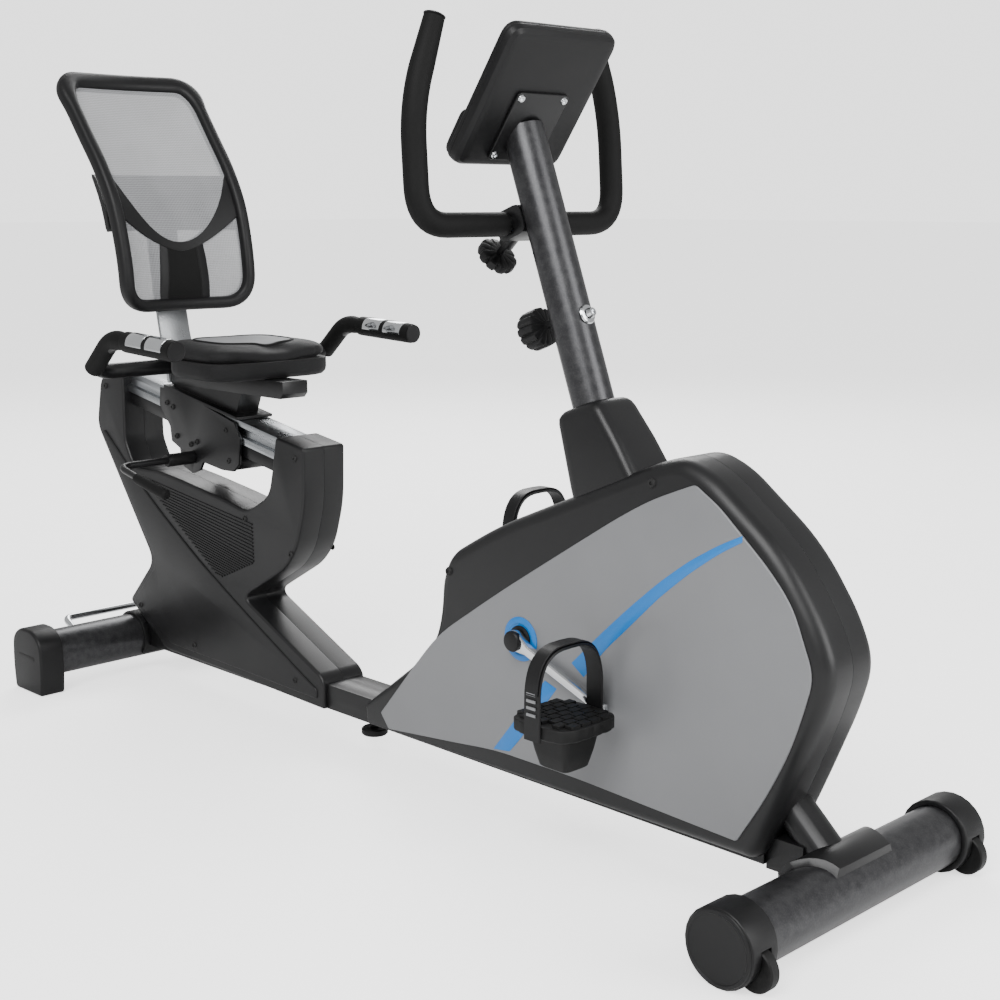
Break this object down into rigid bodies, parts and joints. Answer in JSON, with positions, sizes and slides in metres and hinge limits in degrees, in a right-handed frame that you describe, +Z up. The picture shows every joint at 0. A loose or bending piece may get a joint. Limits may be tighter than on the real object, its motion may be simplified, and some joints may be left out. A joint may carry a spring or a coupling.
{
  "type": "recumbent exercise bike",
  "caption": "Recumbent exercise bike with a sliding seat, curved mesh backrest, side handles, forward console on a leaning mast and an enclosed belt drive.",
  "frame": {"origin": "on the floor under the middle of the whole bike", "axes": "+X to the front (towards the pedals), +Y to the rider's left, +Z up"},
  "size_m": [1.6744, 0.516, 1.0863],
  "materials": {
    "frame_steel": "satin black paint",
    "grey_steel": "satin grey paint",
    "black_plastic": "fine texture",
    "grey_plastic": "fine texture",
    "chrome_parts": "polished",
    "rail_aluminium": "drawn",
    "flywheel_iron": "machined rim",
    "foam": "closed-cell foam",
    "belt_rubber": "ribbed",
    "upholstery": "woven cover",
    "mesh": "open weave",
    "lens": "polished"
  },
  "bodies": {
    "frame": {"main_frame": "frame_steel", "front_stabiliser": "frame_steel", "rear_stabiliser": "frame_steel", "front_cap_right": "black_plastic", "front_cap_left": "black_plastic", "rear_cap_right": "black_plastic", "rear_cap_left": "black_plastic", "rear_cover": "black_plastic", "carry_handle": "chrome_parts", "main_shroud_right": "black_plastic", "main_shroud_left": "black_plastic", "side_panel_right": "grey_plastic", "side_panel_left": "grey_plastic", "rear_shroud_right": "black_plastic", "rear_shroud_left": "black_plastic", "mast_boot": "black_plastic", "mast": "frame_steel", "bar_clamp": "frame_steel", "console_back": "black_plastic", "console_face": "grey_plastic", "display_lens": "lens", "drive_belt": "belt_rubber", "seat_rail": "rail_aluminium"},
    "wheel_right": {"transport_wheel_right": "black_plastic"},
    "wheel_left": {"transport_wheel_left": "black_plastic"},
    "foot": {"levelling_foot": "black_plastic"},
    "bar": {"handlebar": "frame_steel", "foam_grip_right": "foam", "foam_grip_left": "foam"},
    "bar_knob": {"clamp_knob": "black_plastic"},
    "resistance_knob": {"tension_knob": "black_plastic"},
    "key_right": {"button_right": "grey_plastic"},
    "key_left": {"button_left": "grey_plastic"},
    "cranks": {"crank_axle": "chrome_parts", "crank_pulley": "black_plastic", "crank_arm_right": "chrome_parts", "crank_arm_left": "chrome_parts"},
    "pedal_body_right": {"pedal_right": "black_plastic", "pedal_strap_right": "black_plastic"},
    "pedal_body_left": {"pedal_left": "black_plastic", "pedal_strap_left": "black_plastic"},
    "flywheel_body": {"flywheel": "flywheel_iron"},
    "seat_body": {"carriage": "frame_steel", "seat_base": "black_plastic", "seat_cushion": "upholstery", "seat_handlebar": "frame_steel", "seat_grip_right": "foam", "seat_grip_left": "foam", "backrest_frame": "black_plastic", "backrest_mesh": "mesh", "backrest_yoke": "black_plastic", "backrest_bracket": "grey_steel"},
    "roller_body_front": {"roller_front": "black_plastic"},
    "roller_body_rear": {"roller_rear": "black_plastic"},
    "lever_body": {"seat_lever": "black_plastic"}
  },
  "joints": [
    {"name": "transport_wheel_right_spin", "type": "hinge", "parent": "frame", "child": "wheel_right", "pos_m": [0.81075, -0.222, 0.028], "axis": [0, 1, 0], "continuous": true},
    {"name": "transport_wheel_left_spin", "type": "hinge", "parent": "frame", "child": "wheel_left", "pos_m": [0.81075, 0.222, 0.028], "axis": [0, 1, 0], "continuous": true},
    {"name": "levelling_foot_screw", "type": "slide", "parent": "frame", "child": "foot", "axis": [0, 0, -1], "range_m": [0, 0.016]},
    {"name": "handlebar_tilt", "type": "hinge", "parent": "frame", "child": "bar", "pos_m": [0.22475, 0, 0.82], "axis": [0, 1, 0], "range_deg": [-20, 20]},
    {"name": "clamp_knob_turn", "type": "hinge", "parent": "frame", "child": "bar_knob", "pos_m": [0.18116, 0, 0.77877], "axis": [-0.7266, 0, -0.6871], "range_deg": [-360, 0]},
    {"name": "tension_knob_turn", "type": "hinge", "parent": "frame", "child": "resistance_knob", "pos_m": [0.26168, 0, 0.68137], "axis": [-0.937, 0, -0.3494], "range_deg": [0, 300]},
    {"name": "button_right_press", "type": "slide", "parent": "frame", "child": "key_right", "axis": [0.8146, 0, -0.58], "range_m": [0, 0.0015], "stiffness_N_per_m": 400},
    {"name": "button_left_press", "type": "slide", "parent": "frame", "child": "key_left", "axis": [0.8146, 0, -0.58], "range_m": [0, 0.0015], "stiffness_N_per_m": 400},
    {"name": "crank_spin", "type": "hinge", "parent": "frame", "child": "cranks", "pos_m": [0.28075, 0, 0.261], "axis": [0, 1, 0], "continuous": true},
    {"name": "flywheel_spin", "type": "hinge", "parent": "frame", "child": "flywheel_body", "pos_m": [0.60075, 0, 0.29], "axis": [0, 1, 0], "continuous": true},
    {"name": "pedal_right_spin", "type": "hinge", "parent": "cranks", "child": "pedal_body_right", "pos_m": [0.43879, -0.136, 0.20002], "axis": [0, 1, 0], "continuous": true},
    {"name": "pedal_left_spin", "type": "hinge", "parent": "cranks", "child": "pedal_body_left", "pos_m": [0.12271, 0.136, 0.32198], "axis": [0, 1, 0], "continuous": true},
    {"name": "seat_slide", "type": "slide", "parent": "frame", "child": "seat_body", "axis": [0.9854, 0, -0.1702], "range_m": [-0.08, 0.08]},
    {"name": "roller_front_spin", "type": "hinge", "parent": "seat_body", "child": "roller_body_front", "pos_m": [-0.42695, 0, 0.42171], "axis": [0, 1, 0], "range_deg": [-330, 330]},
    {"name": "roller_rear_spin", "type": "hinge", "parent": "seat_body", "child": "roller_body_rear", "pos_m": [-0.58018, 0, 0.44818], "axis": [0, 1, 0], "range_deg": [-330, 330]},
    {"name": "seat_lever_turn", "type": "hinge", "parent": "seat_body", "child": "lever_body", "pos_m": [-0.53325, 0, 0.418], "axis": [0, 1, 0], "range_deg": [-20, 0], "stiffness_Nm_per_rad": 8, "springref_deg": 5.73}
  ],
  "couplings": [
    {"joint": "flywheel_spin", "follows": "crank_spin", "ratio": 8},
    {"joint": "roller_front_spin", "follows": "seat_slide", "rad_per_m": -66.667},
    {"joint": "roller_rear_spin", "follows": "seat_slide", "rad_per_m": -66.667}
  ]
}
